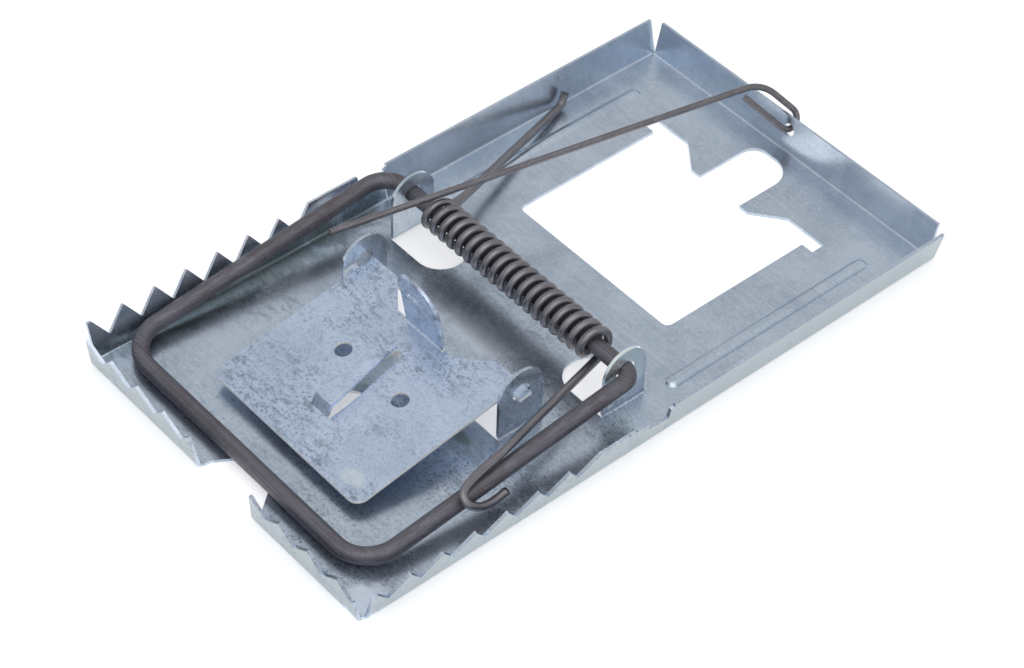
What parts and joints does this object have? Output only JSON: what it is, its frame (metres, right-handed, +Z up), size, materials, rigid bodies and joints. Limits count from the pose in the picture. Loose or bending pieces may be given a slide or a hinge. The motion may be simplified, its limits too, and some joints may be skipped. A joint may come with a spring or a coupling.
{
  "type": "rat trap",
  "caption": "Folded sheet-metal spring trap with a toothed front, a wire bow on a coiled spring, a hinged bait plate and a wire that holds the bow back.",
  "frame": {"origin": "middle of the base's underside, halfway between its side folds and its end folds", "axes": "+X to the right seen from the toothed end, +Y from the toothed end to the back wall, +Z up"},
  "size_m": [0.1018, 0.1762, 0.0267],
  "materials": {
    "galvanised_sheet": "galvanised, satin, scratched and stained",
    "galvanised_plate": "galvanised, satin, with grey mottling",
    "bow_wire": "dark drawn wire, satin",
    "spring_wire": "dark drawn wire, satin",
    "lock_wire": "dark drawn wire, satin"
  },
  "bodies": {
    "base": {"base_tray": "galvanised_sheet", "torsion_spring": "spring_wire"},
    "bow": {"bow": "bow_wire"},
    "bait plate": {"bait_plate": "galvanised_plate"},
    "lock wire": {"lock_wire": "lock_wire"}
  },
  "joints": [
    {"name": "bow hinge", "type": "hinge", "parent": "base", "child": "bow", "pos_m": [0, -0.002, 0.0115], "axis": [-1, 0, 0], "range_deg": [0, 179], "stiffness_Nm_per_rad": 0.365, "deforming": ["torsion_spring"]},
    {"name": "bait plate hinge", "type": "hinge", "parent": "base", "child": "bait plate", "pos_m": [0, -0.0238, 0.01095], "axis": [-1, 0, 0], "range_deg": [-3, 90]},
    {"name": "lock wire eye", "type": "hinge", "parent": "base", "child": "lock wire", "pos_m": [-0.00289, 0.08639, 0.00845], "axis": [-0.7566, 0.1435, -0.6379], "range_deg": [0, 120]}
  ]
}
